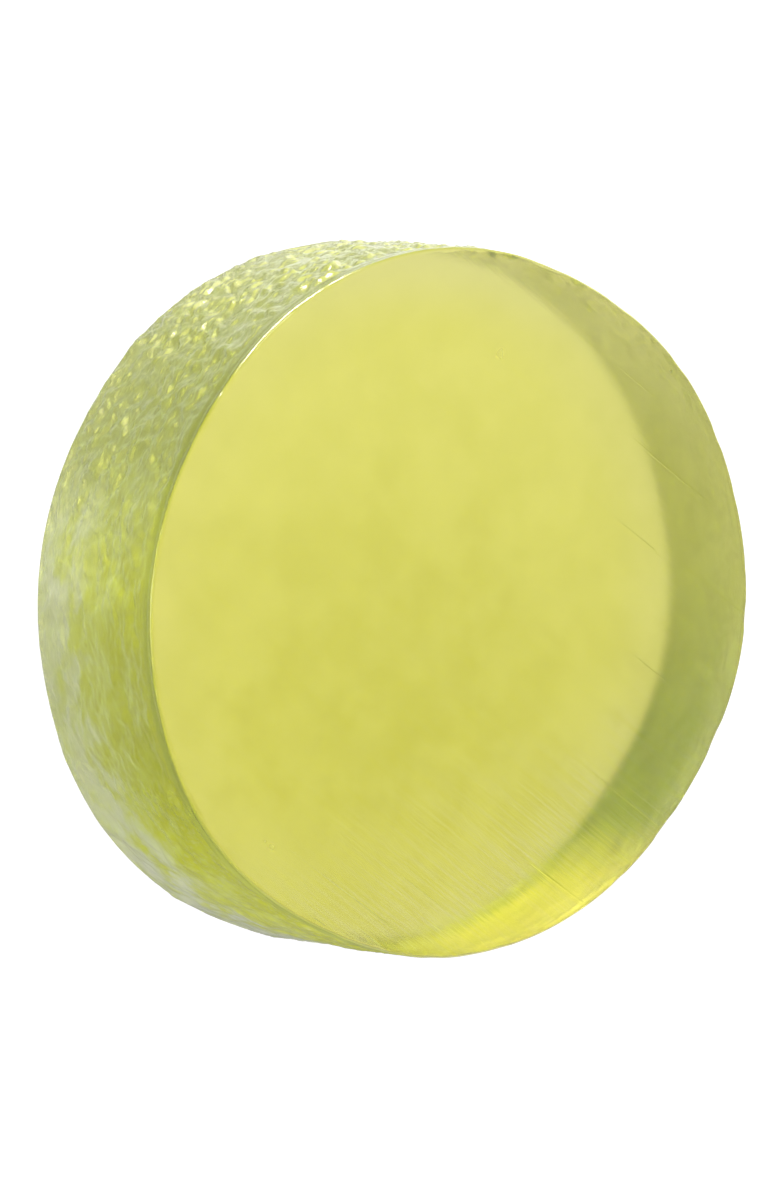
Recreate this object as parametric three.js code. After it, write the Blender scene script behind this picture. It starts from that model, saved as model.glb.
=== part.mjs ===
// A shaving soap puck: one slice of translucent glycerine soap, cast in a lined round mould and cut
// flat on both faces. Millimetres, +Z up. The puck lies on its back face, and the origin is the middle
// of that face. The cut face points up.

import * as THREE from 'three';

// Driving dimensions.
const MEAN_DIAMETER = 63;
const THICKNESS = 19;
const EDGE_ROUND = 0.45;

// How finely the curved surfaces are stepped.
const COLUMNS = 120;
const ROUND_STEPS = 3;
const RIM_ROWS = 3;

const SOAP_COLOUR = 0xd9d468;
const SOAP_ROUGHNESS = 0.4;

// The mould lining wasn't a true circle, so the rim stands in or out of the mean radius in slow waves.
// Each wave repeats `count` times round the rim, `height` is how far it stands out at its crest, and
// `crest` is the angle of one crest, in degrees from +X towards +Y.
const CUT_FACE_WAVES = [
  { count: 2, height: 0.46, crest: 113 },
  { count: 3, height: 0.07, crest: 78 },
  { count: 4, height: 0.19, crest: 23 },
  { count: 5, height: 0.07, crest: 13 },
  { count: 6, height: 0.09, crest: 20 },
  { count: 8, height: 0.08, crest: 0 },
];

// The extra waves at the back face, which fade to nothing at the cut face. The one with a count of 1 is
// the small lean of the rim.
const BACK_FACE_WAVES = [
  { count: 1, height: 0.29, crest: -107 },
  { count: 2, height: 0.3, crest: 0 },
  { count: 3, height: 0.18, crest: -20 },
  { count: 4, height: 0.23, crest: -15 },
];

function waveHeight(waves, angle) {
  return waves.reduce((sum, wave) => {
    const crest = THREE.MathUtils.degToRad(wave.crest);
    return sum + wave.height * Math.cos(wave.count * (angle - crest));
  }, 0);
}

// The rim's distance from the axis at an angle and a height above the back face.
function rimRadius(angle, height) {
  const nearness = 1 - THREE.MathUtils.clamp(height / THICKNESS, 0, 1);
  const waves = waveHeight(CUT_FACE_WAVES, angle) + nearness * waveHeight(BACK_FACE_WAVES, angle);
  return MEAN_DIAMETER / 2 + waves;
}

// Half of the cross-section, from the middle of the back face to the middle of the cut face.
function puckProfile() {
  const radius = MEAN_DIAMETER / 2;
  const profile = [new THREE.Vector2(0, 0)];
  const addRound = (centreHeight, startAngle) => {
    for (let step = 0; step <= ROUND_STEPS; step += 1) {
      const angle = startAngle + (step / ROUND_STEPS) * (Math.PI / 2);
      const out = radius - EDGE_ROUND + EDGE_ROUND * Math.cos(angle);
      profile.push(new THREE.Vector2(out, centreHeight + EDGE_ROUND * Math.sin(angle)));
    }
  };
  addRound(EDGE_ROUND, -Math.PI / 2);
  for (let row = 1; row < RIM_ROWS; row += 1) {
    const height = THREE.MathUtils.lerp(EDGE_ROUND, THICKNESS - EDGE_ROUND, row / RIM_ROWS);
    profile.push(new THREE.Vector2(radius, height));
  }
  addRound(THICKNESS - EDGE_ROUND, 0);
  profile.push(new THREE.Vector2(0, THICKNESS));
  return profile;
}

// Turns the profile round the axis, moves every point in or out with the rim's waves, and then puts the
// middle of the outline back on the axis, because the waves aren't the same on opposite sides.
function puckGeometry() {
  const geometry = new THREE.LatheGeometry(puckProfile(), COLUMNS);
  geometry.rotateX(Math.PI / 2);
  const position = geometry.getAttribute('position');
  for (let i = 0; i < position.count; i += 1) {
    const x = position.getX(i);
    const y = position.getY(i);
    const height = position.getZ(i);
    const stretch = rimRadius(Math.atan2(y, x), height) / (MEAN_DIAMETER / 2);
    position.setXYZ(i, x * stretch, y * stretch, height);
  }
  geometry.computeBoundingBox();
  const middle = geometry.boundingBox.getCenter(new THREE.Vector3());
  geometry.translate(-middle.x, -middle.y, 0);
  geometry.computeVertexNormals();
  return geometry;
}

function soapPuck() {
  const material = new THREE.MeshStandardMaterial({
    color: SOAP_COLOUR,
    roughness: SOAP_ROUGHNESS,
    metalness: 0,
  });
  const puck = new THREE.Mesh(puckGeometry(), material);
  puck.name = 'soap_puck';
  return puck;
}

const model = new THREE.Group();
model.add(soapPuck());

export default model;
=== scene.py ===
"""A puck of translucent yellow-green shaving soap on a pale floor.

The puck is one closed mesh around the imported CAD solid's outline. Its rim carries the crinkles that the
mould's lining printed in it, and its cut face carries fine parallel cutting marks. Everything
that reaches Blender is in metres.
"""

import itertools
import math

import bpy
import numpy as np
from mathutils import Matrix, Vector


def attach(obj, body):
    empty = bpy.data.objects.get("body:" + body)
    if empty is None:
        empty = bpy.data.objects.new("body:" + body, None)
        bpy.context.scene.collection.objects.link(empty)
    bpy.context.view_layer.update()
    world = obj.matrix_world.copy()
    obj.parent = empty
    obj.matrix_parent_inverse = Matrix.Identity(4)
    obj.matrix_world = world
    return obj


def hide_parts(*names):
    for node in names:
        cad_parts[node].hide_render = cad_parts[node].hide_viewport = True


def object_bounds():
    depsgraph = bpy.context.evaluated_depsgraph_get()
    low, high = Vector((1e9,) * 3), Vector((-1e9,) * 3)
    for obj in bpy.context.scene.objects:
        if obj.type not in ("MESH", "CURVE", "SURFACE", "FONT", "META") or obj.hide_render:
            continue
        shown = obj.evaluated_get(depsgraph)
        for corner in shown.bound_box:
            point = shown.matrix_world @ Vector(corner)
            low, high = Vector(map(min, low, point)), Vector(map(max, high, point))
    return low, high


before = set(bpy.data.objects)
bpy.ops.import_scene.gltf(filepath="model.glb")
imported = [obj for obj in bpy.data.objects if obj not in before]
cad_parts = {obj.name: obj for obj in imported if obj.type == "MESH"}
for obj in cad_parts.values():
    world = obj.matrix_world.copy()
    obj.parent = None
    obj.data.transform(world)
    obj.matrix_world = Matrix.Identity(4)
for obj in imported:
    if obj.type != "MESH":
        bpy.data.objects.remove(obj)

CAD_BOX = [list(corner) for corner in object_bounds()]
MM = 0.001
NODE = "soap_puck"

# The mesh's fineness. The rim has COLUMNS columns, and each ring of the faces further in has fewer.
COLUMNS = 768
FEWEST_COLUMNS = 24
RIM_ROWS = 100
ROUND_STEPS = 6
OUTLINE_WAVES = 24
OUTLINE_STEPS = 360
OUTLINE_STEP_REACH = math.radians(2.2)

# The rings of a face: how far in from the rim the first ones are, and how the spacing grows after them.
FACE_RINGS = (0.12, 0.24, 0.4, 0.7, 1.1, 1.7)
RING_GROWTH = 1.25
WIDEST_RING = 1.6
LAST_RING_RADIUS = 2.5

# The cut face's edge: its round, and the smooth band, groove and chips below it. Every length in the
# mesh code is in millimetres.
EDGE_ROUND = 0.3
BAND_WIDTH = 1.25
BAND_SWAY = 0.55
BAND_STEP = 0.05
GROOVE_DEPTH = 0.09
GROOVE_PLACE = 0.70
GROOVE_WIDTH = 0.16
CHIP_DEPTH = 0.12
CHIP_REACH = 0.35
CHIPS_ROUND_RIM = 8.0
RIM_WAVINESS = 0.04
FACE_WAVINESS = 0.03

# The crinkles: the length of one along the rim, its height up the rim, and its depth.
CRINKLE_LENGTH = 1.2
CRINKLE_HEIGHT = 1.0
CRINKLE_DEPTH = 0.25

# What the crinkles are made of, as shares of their depth.
PILLOW_SHARE = 0.7
TILT_SHARE = 0.9
SMALL_SHARE = 0.3
CREASE_WIDTH = 0.6

# The side of the rim with the deepest crinkles, in degrees from +X towards +Y, and the share of that
# depth on the other side.
DEEPEST_SIDE = 205.0
SHALLOWEST_SHARE = 0.3

# The slow lumps under the crinkles: the length and height of each kind.
LONG_LUMPS = (6.0, 0.19)
SHORT_LUMPS = (3.0, 0.11)

# The depth of the finest wrinkles, which are bumps in the material.
WRINKLE_DEPTH = 0.035

# The direction of the cutting marks on the cut face, in degrees from +X towards +Y.
CUT_DIRECTION = 61.0
CUT_MARK_DEPTH = 0.05

# The photograph's viewing angle, from one fit of the outline and the face's edge.
CAMERA_ELEVATION = 55.64
CAMERA_ROLL = 95.8
CAMERA_DISTANCE = 552 * MM
CAMERA_LENS = 186.2
AIM_ACROSS = -0.75 * MM
AIM_UP = -0.02 * MM

# The faces' colours, at the face's heart and far from it, and in pale streaks along the cut and along one
# edge.
# The paler colour away from the heart, the pale streaks and the pale edge are painted sheen.
FACE_TINTS = ((0.63, 0.60, 0.09), (0.775, 0.735, 0.205))
FACE_HEART = (8.0, -3.0, 19.0)
PAINTED_SHEEN_TINT = (0.72, 0.68, 0.42)
PAINTED_SHEEN_SIDE = 115.0

# The near side of the rim, -Y: from the back face up to the band, then pale patches, the band, and the
# stretch towards LIT_SIDE. Sides are in degrees from +X towards +Y. The paler colour towards the back
# face and the pale patches are painted reflection, the darkest colour at the band is painted shade,
# and the paler colour towards LIT_SIDE is painted light from the upper_left lamp.
NEAR_TINTS = ((0.71, 0.76, 0.42), (0.65, 0.70, 0.09), (0.57, 0.60, 0.01))
PAINTED_REFLECTION_TINT = (0.78, 0.80, 0.60)
BAND_TINT = (0.46, 0.50, 0.03)
LIT_TINT = (0.72, 0.77, 0.31)
LIT_SIDE = 214.0

# The far side of the rim, +Y: from the back face up, its -X end, and the stretch towards GLOW_SIDE.
# All of it is painted light: shade darkest along the back face, paler higher up and at the -X end, and
# a yellow glow towards GLOW_SIDE.
FAR_TINTS = ((0.15, 0.24, 0.03), (0.24, 0.33, 0.08), (0.38, 0.45, 0.27))
FAR_TOP_TINT = (0.72, 0.75, 0.33)
GLOW_TINT = (0.97, 0.89, 0.42)
GLOW_SIDE = 24.0

# How clear the soap's skin is: 1 is clear and 0 is cloudy. The rim goes from the first value to the
# second towards FAR_SIDE.
FACE_CLEARNESS = 0.93
RIM_CLEARNESS = (0.75, 0.08)
FAR_SIDE = 48.0
LIT_CLEARNESS = 0.95

# How rough it is, and how much that changes from place to place.
FACE_ROUGHNESS = 0.20
FACE_ROUGHNESS_CHANGE = 0.10
RIM_ROUGHNESS = 0.20
RIM_ROUGHNESS_CHANGE = 0.06
LIT_ROUGHNESS_DROP = 0.08

# The depth colour is what is left of white light after 1 / DEPTH_DENSITY metres of soap.
SOAP_IOR = 1.47
DEPTH_COLOUR = (0.84, 0.86, 0.45)
DEPTH_DENSITY = 50.0

# The floor, the pool of light on it, and the shade card.
FLOOR_COLOUR = (0.12, 0.12, 0.12)
FLOOR_STRENGTH = 1.0
FLOOR_LEVEL = -0.05 * MM
FLOOR_HALF_WIDTH = 3.0
POOL_PLACE = (-62 * MM, -12 * MM, 0)
POOL_RADIUS = 50 * MM
POOL_STRENGTH = 0.9
CARD_STRENGTH = 0.35
CARD_LEVEL = -0.02 * MM
CARD_RADII = (31 * MM, 48 * MM)
CARD_SIDES = (-85.0, 40.0)
CARD_STEPS = 40

# The room: its brightness overhead and at the horizon.
SKY_STRENGTH = 0.3
HORIZON_STRENGTH = 1.1

# Round soft lights: a name, the direction from the puck in degrees from +X towards +Y, the elevation
# in degrees, the distance and width in metres, and the watts.
SOFT_LIGHTS = (
    ("upper_left", 197, 24, 0.25, 0.15, 2.2),
    ("sheen", 108, 55, 0.30, 0.16, 0.08),
    ("right", 80, 20, 0.25, 0.14, 0.02),
    ("left", 275, 25, 0.25, 0.14, 0.3),
    ("lower", 0, 25, 0.25, 0.14, 0.05),
)


# ---------------------------------------------------------------- repeatable noise


def lattice_value(ix, iy, iz, salt):
    """A repeatable random number from 0 to 1 for each whole-number point."""
    mask = 0xFFFFFFFF
    n = (ix * 73856093) ^ (iy * 19349663) ^ (iz * 83492791) ^ (salt * 2654435)
    n = n & mask
    n = ((n ^ (n >> 15)) * 1103515245) & mask
    n = ((n ^ (n >> 13)) * 668265263) & mask
    n = n ^ (n >> 16)
    return (n & 0xFFFFFF) / float(0xFFFFFF)


def soft_noise(points, salt):
    """Smooth noise, mostly between -1 and 1, with about one wave per unit, at points of shape (n, 3)."""
    base = np.floor(points).astype(np.int64)
    part = points - base
    ease = part * part * part * (part * (part * 6 - 15) + 10)
    total = np.zeros(len(points))
    for corner in itertools.product((0, 1), repeat=3):
        at = base + np.array(corner)
        weight = np.ones(len(points))
        slope = np.zeros(len(points))
        for axis in range(3):
            weight = weight * (ease[:, axis] if corner[axis] else 1 - ease[:, axis])
            lean = 2 * lattice_value(at[:, 0], at[:, 1], at[:, 2], salt * 7 + axis) - 1
            slope += lean * (part[:, axis] - corner[axis])
        total += weight * slope
    return 2.2 * total


def fade(low, high, value):
    """0 below low, 1 above high, and a smooth step between."""
    share = np.clip((value - low) / (high - low), 0, 1)
    return share * share * (3 - 2 * share)


# ---------------------------------------------------------------- the CAD solid's outline


def outline_waves(level):
    """The CAD rim's radius at one height as a row of Fourier terms, in millimetres."""
    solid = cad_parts[NODE]
    points = np.array([v.co for v in solid.data.vertices]) / MM
    low, high = [corner[2] / MM for corner in CAD_BOX]
    radii = np.hypot(points[:, 0], points[:, 1])
    height = points[:, 2]
    middle = (low + high) / 2
    half = (height > middle) == (level == "front")
    rim = half & (radii > 0.9 * radii.max())
    angles = np.arctan2(points[:, 1], points[:, 0])
    steps = np.linspace(-math.pi, math.pi, OUTLINE_STEPS + 1)[:-1]
    outer = np.zeros(len(steps))
    for i, step in enumerate(steps):
        turn = np.abs((angles - step + math.pi) % (2 * math.pi) - math.pi)
        near = rim & (turn < OUTLINE_STEP_REACH)
        outer[i] = radii[near].max()
    terms = np.fft.rfft(outer) / len(steps)
    return terms[:OUTLINE_WAVES]


def radius_from(terms, angles):
    """The radius at each angle, from outline_waves's terms."""
    order = np.arange(len(terms))
    turned = np.exp(1j * np.outer(angles + math.pi, order)) * terms
    return 2 * turned.real.sum(1) - terms[0].real


# ---------------------------------------------------------------- the puck's mesh


def crinkles(points):
    """The height of the rim's crinkles, about 0 on average, at points in millimetres: flat-topped,
    tilted pillows with narrow creases between them, smaller ones on top of those, and slow lumps."""
    size = np.array([CRINKLE_LENGTH, CRINKLE_LENGTH, CRINKLE_HEIGHT])
    sway = np.stack([soft_noise(points / 2.4, salt) for salt in (11, 12, 13)], 1)
    warped = points / size + 0.4 * sway
    pillows = fade(0.0, CREASE_WIDTH, np.abs(soft_noise(warped, 21))) - 0.6
    tilt = soft_noise(warped * 0.8 + 5.7, 27)
    small = fade(0.0, CREASE_WIDTH, np.abs(soft_noise(warped * 1.6 + 7.3, 22))) - 0.6
    angle = np.arctan2(points[:, 1], points[:, 0]) - math.radians(DEEPEST_SIDE)
    deepest = fade(0.2, 1.0, np.cos(angle))
    depth = CRINKLE_DEPTH * (SHALLOWEST_SHARE + (1 - SHALLOWEST_SHARE) * deepest)
    depth = depth * (1 + 0.3 * soft_noise(points / 8.0, 24))
    lumps = LONG_LUMPS[1] * soft_noise(points / LONG_LUMPS[0], 25)
    lumps = lumps + SHORT_LUMPS[1] * soft_noise(points / SHORT_LUMPS[0], 26)
    return depth * (PILLOW_SHARE * pillows + TILT_SHARE * tilt + SMALL_SHARE * small) + lumps


def rim_profile(thickness):
    """The cross-section from the back face's edge to the cut face's edge: rows of how far in from the
    rim, the height, and the outward direction in and up."""
    rows = []
    for step in range(ROUND_STEPS + 1):
        angle = -math.pi / 2 + math.pi / 2 * step / ROUND_STEPS
        rows.append((
            EDGE_ROUND * (1 - math.cos(angle)),
            EDGE_ROUND * (1 + math.sin(angle)),
            math.cos(angle),
            math.sin(angle),
        ))
    for row in range(1, RIM_ROWS):
        height = EDGE_ROUND + (thickness - 2 * EDGE_ROUND) * row / RIM_ROWS
        rows.append((0.0, height, 1.0, 0.0))
    for step in range(ROUND_STEPS + 1):
        angle = math.pi / 2 * step / ROUND_STEPS
        rows.append((
            EDGE_ROUND * (1 - math.cos(angle)),
            thickness - EDGE_ROUND * (1 - math.sin(angle)),
            math.cos(angle),
            math.sin(angle),
        ))
    return rows


def rim_points(thickness, back_terms, front_terms):
    """The rim's grid of points, shape (rows, columns, 3), and how far each row belongs to the rim
    rather than to a face, from 0 to 1."""
    angles = np.arange(COLUMNS) * 2 * math.pi / COLUMNS
    back = radius_from(back_terms, angles)
    front = radius_from(front_terms, angles)
    around = np.stack([np.cos(angles), np.sin(angles), np.zeros(COLUMNS)], 1)
    grid, shares = [], []
    for inwards, height, out, up in rim_profile(thickness):
        nearness = np.clip(height / thickness, 0, 1)
        radius = back + (front - back) * nearness - inwards
        base = around * radius[:, None]
        base[:, 2] = height
        below_face = thickness - height
        band = BAND_WIDTH + BAND_SWAY * soft_noise(around * 3.0, 71)
        share = fade(0.0, 0.5, below_face - band) * fade(0.0, 0.7, np.full(COLUMNS, height))
        lift = share * crinkles(base)
        step_down = -BAND_STEP * (1 - fade(0.0, 0.25, below_face - band + 0.1)) * out
        groove = -GROOVE_DEPTH * np.exp(-(((below_face - GROOVE_PLACE) / GROOVE_WIDTH) ** 2))
        chipped = fade(0.0, 0.5, soft_noise(around * CHIPS_ROUND_RIM, 73))
        chips = -CHIP_DEPTH * chipped * math.exp(-abs(below_face) / CHIP_REACH)
        waviness = RIM_WAVINESS * soft_noise(base / (2.4, 2.4, 1.2), 72) * min(1.0, below_face / 0.5)
        height_change = lift + (step_down + groove + waviness + chips) * min(1.0, height / 0.8)
        direction = around * out
        direction[:, 2] = up
        grid.append(base + direction * height_change[:, None])
        shares.append(np.full(COLUMNS, out))
    return np.array(grid), np.array(shares)


def face_rings(edge, level):
    """The rings of one face from its edge towards its middle, as rows of points. Each ring has as many
    points as the one before, or half as many."""
    rings = []
    radii = np.hypot(edge[:, 0], edge[:, 1])
    angles = np.arctan2(edge[:, 1], edge[:, 0])
    count = len(edge)
    inwards = list(FACE_RINGS)
    spacing = inwards[-1] - inwards[-2]
    mean = radii.mean()
    while inwards[-1] < mean - LAST_RING_RADIUS:
        spacing = min(spacing * RING_GROWTH, WIDEST_RING)
        inwards.append(inwards[-1] + spacing)
    for depth in inwards:
        radius = mean - depth
        shortest = 0.75 * min(WIDEST_RING, max(0.35, depth * 0.35))
        while count > FEWEST_COLUMNS and 2 * math.pi * radius / count < shortest:
            count //= 2
        step = len(edge) // count
        share = radius / mean
        ring = np.stack([
            radii[::step] * share * np.cos(angles[::step]),
            radii[::step] * share * np.sin(angles[::step]),
            np.full(count, level),
        ], 1)
        rings.append(ring)
    return rings


def face_waves(points, salt):
    """The slow unevenness of a cut face, at most zero, in millimetres."""
    slow = soft_noise(points / 9.0, salt) + 0.5 * soft_noise(points / 4.0, salt + 1)
    return -FACE_WAVINESS * (slow + 1.5) / 1.5


def stitch(faces, outer, inner):
    """Joins two rings of vertex numbers, the inner with as many as the outer or half as many."""
    count = len(inner)
    if len(outer) == count:
        for i in range(count):
            j = (i + 1) % count
            faces.append((outer[i], outer[j], inner[j], inner[i]))
        return
    for i in range(count):
        j = (i + 1) % count
        a, b, c = outer[2 * i], outer[2 * i + 1], outer[(2 * i + 2) % len(outer)]
        faces.append((a, b, inner[i]))
        faces.append((b, inner[j], inner[i]))
        faces.append((b, c, inner[j]))


def puck_mesh():
    """The whole puck as one closed mesh in metres, with the attribute "rim": 0 on the faces and 1 on
    the rim."""
    thickness = (CAD_BOX[1][2] - CAD_BOX[0][2]) / MM
    grid, shares = rim_points(thickness, outline_waves("back"), outline_waves("front"))
    points, rim_share, faces = [], [], []
    rings = []
    for row, share in zip(grid, shares):
        rings.append(list(range(len(points), len(points) + len(row))))
        points.extend(row)
        rim_share.extend(share)
    for lower, upper in zip(rings, rings[1:]):
        stitch(faces, lower, upper)
    for edge_ring, edge_points, level, salt, upward in (
        (rings[-1], grid[-1], thickness, 81, True),
        (rings[0], grid[0], 0.0, 91, False),
    ):
        outer = edge_ring
        own = []
        edge_radius = np.hypot(*edge_points[0, :2])
        for ring in face_rings(edge_points, level):
            away = np.clip((edge_radius - np.hypot(ring[0, 0], ring[0, 1])) / 1.5, 0, 1)
            dent = face_waves(ring, salt) * away
            ring[:, 2] = level + (dent if upward else -dent)
            inner = list(range(len(points), len(points) + len(ring)))
            points.extend(ring)
            rim_share.extend(np.zeros(len(ring)))
            stitch(own, outer, inner)
            outer = inner
        middle = len(points)
        dent = face_waves(np.array([[0.0, 0.0, level]]), salt)[0]
        points.append(np.array([0.0, 0.0, level + (dent if upward else -dent)]))
        rim_share.append(0.0)
        own.extend((outer[i], outer[(i + 1) % len(outer)], middle) for i in range(len(outer)))
        faces.extend(own if upward else [tuple(reversed(face)) for face in own])
    mesh = bpy.data.meshes.new("soap_puck_body")
    mesh.from_pydata([tuple(p * MM) for p in points], [], faces)
    mesh.validate()
    attribute = mesh.attributes.new("rim", "FLOAT", "POINT")
    attribute.data.foreach_set("value", np.array(rim_share, np.float32))
    mesh.shade_smooth()
    mesh.update()
    return mesh


# ---------------------------------------------------------------- materials

# The soap's places and heights are in millimetres here too, and the floor's are in metres. The other
# numbers given to spread are shares from 0 to 1.


def add(tree, kind, inputs=(), **settings):
    """Adds a shader node. inputs are pairs of a socket's name or number and a value or another node's
    output."""
    node = tree.nodes.new(kind)
    for name, value in settings.items():
        setattr(node, name, value)
    for name, value in inputs:
        if isinstance(value, bpy.types.NodeSocket):
            tree.links.new(value, node.inputs[name])
        else:
            node.inputs[name].default_value = value
    return node


def maths(tree, operation, a, b=0.0, clamp=False):
    """A Math node's output."""
    made = add(tree, "ShaderNodeMath", [(0, a), (1, b)], operation=operation, use_clamp=clamp)
    return made.outputs[0]


def spread(tree, value, low, high, to_low=0.0, to_high=1.0):
    """A value moved smoothly from one range to another."""
    made = add(
        tree,
        "ShaderNodeMapRange",
        [("Value", value), ("From Min", low), ("From Max", high), ("To Min", to_low), ("To Max", to_high)],
        interpolation_type="SMOOTHSTEP",
    )
    return made.outputs["Result"]


def blend_colours(tree, share, first, second):
    """Two colours mixed by a share."""
    made = add(tree, "ShaderNodeMix", [("Factor", share)], data_type="RGBA")
    for socket, value in ((made.inputs[6], first), (made.inputs[7], second)):
        if isinstance(value, bpy.types.NodeSocket):
            tree.links.new(value, socket)
        else:
            socket.default_value = (*value, 1.0)
    return made.outputs[2]


def blend_values(tree, share, first, second):
    """Two numbers mixed by a share."""
    made = add(
        tree, "ShaderNodeMix", [("Factor", share), (2, first), (3, second)], data_type="FLOAT"
    )
    return made.outputs[0]


def place(tree, millimetres, scale, turn=0.0, shift=(0, 0, 0)):
    """Coordinates for a noise: turned about Z, then with scale's waves per millimetre on each axis."""
    turned = add(
        tree,
        "ShaderNodeMapping",
        [("Vector", millimetres), ("Rotation", (0, 0, math.radians(-turn)))],
    )
    made = add(
        tree,
        "ShaderNodeMapping",
        [("Vector", turned.outputs[0]), ("Scale", scale), ("Location", shift)],
    )
    return made.outputs[0]


def part_of(tree, vector, axis):
    """One coordinate of a vector."""
    return add(tree, "ShaderNodeSeparateXYZ", [("Vector", vector)]).outputs[axis]


def towards(tree, millimetres, side):
    """How far each point is from the puck's axis in one direction, in degrees from +X towards +Y."""
    return part_of(tree, place(tree, millimetres, (1, 1, 1), side), "X")


def length_of(tree, vector):
    """The length of a vector."""
    return add(tree, "ShaderNodeVectorMath", [(0, vector)], operation="LENGTH").outputs["Value"]


def empty_tree(owner):
    """The cleared node tree of a new material or world."""
    owner.use_nodes = True
    owner.node_tree.nodes.clear()
    return owner.node_tree


def noise(tree, vector, scale=1.0, detail=2.0, roughness=0.5, distortion=0.0):
    """A Noise Texture's value."""
    made = add(
        tree,
        "ShaderNodeTexNoise",
        [
            ("Vector", vector),
            ("Scale", scale),
            ("Detail", detail),
            ("Roughness", roughness),
            ("Distortion", distortion),
        ],
    )
    return made.outputs["Fac"]


def cut_marks(tree, millimetres):
    """The height of the fine straight marks that the cutting wire left, from 0 to 1."""
    fine = noise(tree, place(tree, millimetres, (0.06, 2.9, 0.3), CUT_DIRECTION), 1.0, 3.0, 0.65)
    broad = noise(tree, place(tree, millimetres, (0.03, 0.9, 0.3), CUT_DIRECTION, (5, 3, 1)), 1.0, 2.0)
    scratch_direction = CUT_DIRECTION + 1.5
    deep = noise(tree, place(tree, millimetres, (0.045, 2.6, 0.3), scratch_direction, (9, 7, 2)), 1.0, 1.0)
    scratches = spread(tree, deep, 0.30, 0.22, 0.0, 1.0)
    height = maths(tree, "ADD", maths(tree, "MULTIPLY", fine, 0.7), maths(tree, "MULTIPLY", broad, 0.5))
    return maths(tree, "SUBTRACT", height, scratches)


def face_colour(tree, millimetres, clouds):
    """Yellow-green, cloudy, and paler away from one spot near the middle, which is painted sheen."""
    away = add(tree, "ShaderNodeVectorMath", [(0, millimetres), (1, FACE_HEART)], operation="DISTANCE")
    # Painted sheen: the face is paler away from its heart.
    paler = spread(tree, away.outputs["Value"], 6.0, 34.0, 0.0, 0.7)
    cloudy = spread(tree, clouds, 0.38, 0.62, 0.0, 0.35)
    return blend_colours(tree, maths(tree, "ADD", paler, cloudy, True), *FACE_TINTS)


def lit_share(tree, millimetres):
    """1 on the stretch of the rim towards LIT_SIDE, which is clearest, and 0 elsewhere."""
    return spread(tree, towards(tree, millimetres, LIT_SIDE), 16.0, 27.0)


def rim_colour(tree, millimetres, specks, lit):
    """Green, with painted light and shade. The near side is paler towards the back face and in pale
    patches and specks, which is painted reflection, deepest near the smooth edge band, which is painted
    shade, and paler towards LIT_SIDE, which is painted light. The far side is darkest along the back
    face's edge, which is painted shade, paler higher up and at its -X end, which is painted light, and
    yellow in one stretch, which is a painted glow."""
    height = part_of(tree, millimetres, "Z")
    patches = noise(tree, place(tree, millimetres, (0.30, 0.30, 0.45), 0.0, (3, 1, 4)), 1.0, 3.0)
    swayed = maths(tree, "ADD", height, spread(tree, patches, 0.3, 0.7, -3.5, 3.5))
    # Painted reflection and shade: the near side is paler towards the back face and deepest up near the
    # band.
    deeper = blend_colours(tree, spread(tree, swayed, 2.0, 9.0), NEAR_TINTS[0], NEAR_TINTS[1])
    deepest = blend_colours(tree, spread(tree, swayed, 9.0, 16.0), deeper, NEAR_TINTS[2])
    # Painted reflection: pale patches and pale specks, most towards the back face.
    bloom = maths(tree, "MULTIPLY", spread(tree, patches, 0.62, 0.26), spread(tree, height, 12.0, 2.0))
    bloomed = blend_colours(tree, bloom, deepest, PAINTED_REFLECTION_TINT)
    speckled = blend_colours(tree, spread(tree, specks, 0.45, 0.75, 0.0, 0.15), bloomed, PAINTED_REFLECTION_TINT)
    # Painted light: paler on the stretch towards LIT_SIDE, where the upper_left lamp falls.
    paler = blend_colours(tree, maths(tree, "MULTIPLY", lit, 0.7), speckled, LIT_TINT)
    # Painted shade: the darkest tint along the smooth edge band.
    near_side = blend_colours(tree, spread(tree, height, 17.5, 18.0), paler, BAND_TINT)

    # Painted shade: the far side is darkest along the back face's edge, with paler painted light higher up.
    painted_shade_edge = blend_colours(tree, spread(tree, height, 0.8, 3.5), FAR_TINTS[0], FAR_TINTS[1])
    far_side = blend_colours(tree, spread(tree, height, 11.0, 17.0), painted_shade_edge, FAR_TINTS[2])
    # Painted light: paler at the far side's -X end, towards the upper_left lamp.
    top_end = spread(tree, part_of(tree, millimetres, "X"), 14.0, -16.0)
    topped = blend_colours(tree, top_end, far_side, FAR_TOP_TINT)
    # Painted glow: yellow where light through the soap reaches the far rim.
    glow_stretch = spread(tree, towards(tree, millimetres, GLOW_SIDE), 26.0, 31.0)
    glow = maths(tree, "MULTIPLY", glow_stretch, spread(tree, height, 0.8, 3.5, 0.4, 1.0))
    painted_glow = blend_colours(tree, glow, topped, GLOW_TINT)
    on_far_side = spread(tree, part_of(tree, millimetres, "Y"), -4.0, 10.0)
    return blend_colours(tree, on_far_side, near_side, painted_glow)


def painted_sheen_share(tree, millimetres, marked):
    """How strong the face's painted sheen is: in pale streaks along the cut at one side, and all along the
    edge on one side."""
    streaks = noise(
        tree, place(tree, millimetres, (0.12, 3.4, 0.3), CUT_DIRECTION, (2, 4, 6)), 1.0, 3.0, 0.7
    )
    streaked = maths(
        tree, "MULTIPLY", spread(tree, streaks, 0.42, 0.62, 0.0, 0.6), spread(tree, marked, 10.0, 28.0)
    )
    flat = add(tree, "ShaderNodeVectorMath", [(0, millimetres), (1, (1, 1, 0))], operation="MULTIPLY")
    near_edge = spread(tree, length_of(tree, flat.outputs[0]), 24.0, 31.0, 0.0, 0.6)
    on_side = spread(tree, towards(tree, millimetres, PAINTED_SHEEN_SIDE), -25.0, 15.0, 0.2, 1.0)
    return maths(tree, "ADD", streaked, maths(tree, "MULTIPLY", near_edge, on_side), True)


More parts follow.
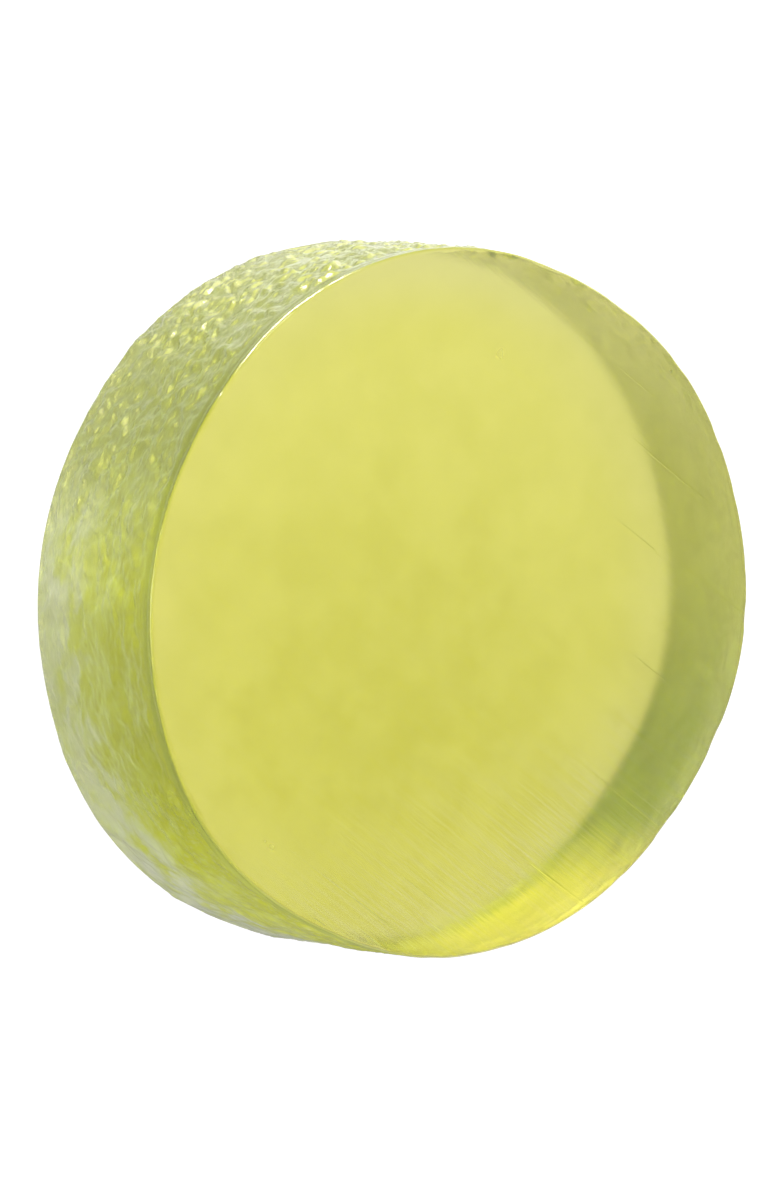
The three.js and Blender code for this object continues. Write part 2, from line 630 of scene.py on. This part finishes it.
def soap_bump(tree, millimetres, rim, marked):
    """The cutting marks on the faces, deepest at one side, and the finest wrinkles on the rim."""
    mark_depth = spread(tree, marked, -10.0, 24.0, 0.3 * CUT_MARK_DEPTH, CUT_MARK_DEPTH)
    face_height = maths(tree, "MULTIPLY", cut_marks(tree, millimetres), mark_depth)
    wrinkles = noise(tree, place(tree, millimetres, (0.9, 0.9, 3.2)), 1.0, 4.0, 0.6, 0.6)
    rim_height = maths(tree, "MULTIPLY", wrinkles, WRINKLE_DEPTH)
    height = blend_values(tree, rim, face_height, rim_height)
    made = add(tree, "ShaderNodeBump", [("Height", height), ("Distance", MM), ("Strength", 1.0)])
    return made.outputs[0]


def soap_roughness(tree, rim, clouds, specks, lit):
    """Satin on the faces, and glossier where the rim is clearest."""
    cloudy = maths(tree, "MULTIPLY", clouds, FACE_ROUGHNESS_CHANGE)
    speckled = maths(tree, "MULTIPLY", specks, RIM_ROUGHNESS_CHANGE)
    satin = maths(tree, "SUBTRACT", RIM_ROUGHNESS, maths(tree, "MULTIPLY", lit, LIT_ROUGHNESS_DROP))
    face = maths(tree, "ADD", cloudy, FACE_ROUGHNESS)
    return blend_values(tree, rim, face, maths(tree, "ADD", speckled, satin))


def soap_clearness(tree, millimetres, rim, lit):
    """Clear on the faces and towards LIT_SIDE, and cloudiest on the far side of the rim."""
    unlit = spread(tree, towards(tree, millimetres, FAR_SIDE), -14.0, 14.0, *RIM_CLEARNESS)
    on_rim = blend_values(tree, lit, unlit, LIT_CLEARNESS)
    return blend_values(tree, rim, FACE_CLEARNESS, on_rim)


def soap_material():
    """Translucent soap: a clear or cloudy skin over a yellow-green depth. The mesh attribute "rim" says
    which of its two looks each place has."""
    material = bpy.data.materials.new("glycerine_soap")
    tree = empty_tree(material)
    coordinates = add(tree, "ShaderNodeTexCoord").outputs["Object"]
    millimetres = add(
        tree, "ShaderNodeMapping", [("Vector", coordinates), ("Scale", (1 / MM, 1 / MM, 1 / MM))]
    ).outputs[0]
    rim = add(tree, "ShaderNodeAttribute", attribute_name="rim").outputs["Fac"]
    clouds = noise(tree, millimetres, 0.16, 3.0, 0.55)
    specks = noise(tree, millimetres, 1.6, 3.0, 0.6)
    marked = towards(tree, millimetres, GLOW_SIDE)
    lit = lit_share(tree, millimetres)
    # Painted sheen: the cut face is paler in streaks along the cut and along one edge.
    painted_sheen = painted_sheen_share(tree, millimetres, marked)
    yellow = blend_colours(tree, painted_sheen, face_colour(tree, millimetres, clouds), PAINTED_SHEEN_TINT)
    colour = blend_colours(tree, rim, yellow, rim_colour(tree, millimetres, specks, lit))
    surface = add(
        tree,
        "ShaderNodeBsdfPrincipled",
        [
            ("Base Color", colour),
            ("Roughness", soap_roughness(tree, rim, clouds, specks, lit)),
            ("IOR", SOAP_IOR),
            ("Transmission Weight", soap_clearness(tree, millimetres, rim, lit)),
            ("Normal", soap_bump(tree, millimetres, rim, marked)),
        ],
    )
    depth = add(
        tree,
        "ShaderNodeVolumeAbsorption",
        [("Color", (*DEPTH_COLOUR, 1.0)), ("Density", DEPTH_DENSITY)],
    )
    add(
        tree,
        "ShaderNodeOutputMaterial",
        [("Surface", surface.outputs[0]), ("Volume", depth.outputs[0])],
    )
    return material


# ---------------------------------------------------------------- the puck


def make_puck():
    """The one piece of the object, which rides on the only body."""
    puck = bpy.data.objects.new("soap_puck_body", puck_mesh())
    bpy.context.scene.collection.objects.link(puck)
    puck.data.materials.append(soap_material())
    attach(puck, "root")
    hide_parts(NODE)
    return puck


# ---------------------------------------------------------------- floor, light and camera


def floor_material():
    """White, lit from within, and brightest in one pool of light beside the puck."""
    material = bpy.data.materials.new("pale_floor")
    tree = empty_tree(material)
    position = add(tree, "ShaderNodeTexCoord").outputs["Object"]
    offset = add(tree, "ShaderNodeVectorMath", [(0, position), (1, POOL_PLACE)], operation="SUBTRACT")
    distance = length_of(tree, offset.outputs[0])
    pool = spread(tree, distance, 0.35 * POOL_RADIUS, POOL_RADIUS, POOL_STRENGTH, 0.0)
    past_puck = spread(tree, length_of(tree, position), 31 * MM, 35 * MM)
    strength = maths(tree, "ADD", maths(tree, "MULTIPLY", pool, past_puck), FLOOR_STRENGTH)
    surface = add(
        tree,
        "ShaderNodeBsdfPrincipled",
        [
            ("Base Color", (*FLOOR_COLOUR, 1)),
            ("Roughness", 0.9),
            ("Specular IOR Level", 0.0),
            ("Emission Color", (1, 1, 1, 1)),
            ("Emission Strength", strength),
        ],
    )
    add(tree, "ShaderNodeOutputMaterial", [("Surface", surface.outputs[0])])
    return material


def make_floor():
    """A plain pale floor just under the puck, large enough to fill every view."""
    half = FLOOR_HALF_WIDTH
    mesh = bpy.data.meshes.new("floor")
    corners = [(x, y, FLOOR_LEVEL) for x, y in ((-half, -half), (half, -half), (half, half), (-half, half))]
    mesh.from_pydata(corners, [], [(0, 1, 2, 3)])
    floor = bpy.data.objects.new("floor", mesh)
    bpy.context.scene.collection.objects.link(floor)
    mesh.materials.append(floor_material())


def card_material():
    """White near the puck's middle and grey towards +X."""
    material = bpy.data.materials.new("shade_card")
    tree = empty_tree(material)
    position = add(tree, "ShaderNodeTexCoord").outputs["Object"]
    strength = spread(
        tree, part_of(tree, position, "X"), 14 * MM, 30 * MM, FLOOR_STRENGTH, CARD_STRENGTH
    )
    glow = add(tree, "ShaderNodeEmission", [("Strength", strength)])
    add(tree, "ShaderNodeOutputMaterial", [("Surface", glow.outputs[0])])
    return material


def make_shade_card():
    """A grey card on the floor against the puck's +X side, darkest furthest out, which keeps white
    reflections off the low rim there. The camera doesn't see it."""
    first, last = [math.radians(side) for side in CARD_SIDES]
    points, faces = [], []
    for i in range(CARD_STEPS + 1):
        angle = first + (last - first) * i / CARD_STEPS
        for radius in CARD_RADII:
            points.append((radius * math.cos(angle), radius * math.sin(angle), CARD_LEVEL))
    for i in range(CARD_STEPS):
        faces.append((2 * i, 2 * i + 1, 2 * i + 3, 2 * i + 2))
    mesh = bpy.data.meshes.new("shade_card")
    mesh.from_pydata(points, [], faces)
    card = bpy.data.objects.new("shade_card", mesh)
    bpy.context.scene.collection.objects.link(card)
    card.visible_camera = False
    mesh.materials.append(card_material())


def soft_light(name, turn, elevation, distance, width, watts):
    """A round soft light that looks at the puck."""
    data = bpy.data.lights.new(name, "AREA")
    data.shape = "DISK"
    data.size = width
    data.energy = watts
    light = bpy.data.objects.new(name, data)
    flat = math.cos(math.radians(elevation))
    away = Vector((
        flat * math.cos(math.radians(turn)),
        flat * math.sin(math.radians(turn)),
        math.sin(math.radians(elevation)),
    ))
    light.location = away * distance
    light.rotation_mode = "QUATERNION"
    light.rotation_quaternion = away.to_track_quat("Z", "Y")
    light.visible_camera = False
    bpy.context.scene.collection.objects.link(light)


def make_light():
    """A dim room with a bright horizon, and soft lights low round the puck."""
    world = bpy.data.worlds.new("studio")
    bpy.context.scene.world = world
    tree = empty_tree(world)
    direction = add(tree, "ShaderNodeTexCoord").outputs["Generated"]
    strength = spread(tree, part_of(tree, direction, "Z"), 0.08, 0.30, HORIZON_STRENGTH, SKY_STRENGTH)
    background = add(tree, "ShaderNodeBackground", [("Color", (1, 1, 1, 1)), ("Strength", strength)])
    add(tree, "ShaderNodeOutputWorld", [("Surface", background.outputs[0])])
    for name, turn, elevation, distance, width, watts in SOFT_LIGHTS:
        soft_light(name, turn, elevation, distance, width, watts)


def make_camera():
    """The photograph's view: looking down on the cut face, with the camera turned on its side."""
    low, high = [Vector(corner) for corner in CAD_BOX]
    centre = (low + high) / 2
    elevation = math.radians(CAMERA_ELEVATION)
    roll = math.radians(CAMERA_ROLL)
    back = Vector((0, -math.cos(elevation), math.sin(elevation)))
    level_right = Vector((1, 0, 0))
    level_up = level_right.cross(-back)
    right = math.cos(roll) * level_right + math.sin(roll) * level_up
    up = -math.sin(roll) * level_right + math.cos(roll) * level_up
    data = bpy.data.cameras.new("camera")
    data.sensor_width = 36.0
    data.lens = CAMERA_LENS
    data.clip_start = 0.05
    data.clip_end = 20.0
    camera = bpy.data.objects.new("camera", data)
    turn = Matrix((right, up, back)).transposed().to_4x4()
    spot = centre + back * CAMERA_DISTANCE + right * AIM_ACROSS + up * AIM_UP
    camera.matrix_world = Matrix.Translation(spot) @ turn
    bpy.context.scene.collection.objects.link(camera)
    bpy.context.scene.camera = camera


def set_look():
    """Plain colours, and enough bounces for light to cross the soap."""
    scene = bpy.context.scene
    scene.view_settings.view_transform = "Standard"
    scene.view_settings.look = "None"
    scene.cycles.max_bounces = 24
    scene.cycles.transmission_bounces = 24
    scene.cycles.glossy_bounces = 8
    scene.cycles.caustics_refractive = True
    scene.cycles.caustics_reflective = True


make_puck()
make_floor()
make_shade_card()
make_light()
make_camera()
set_look()
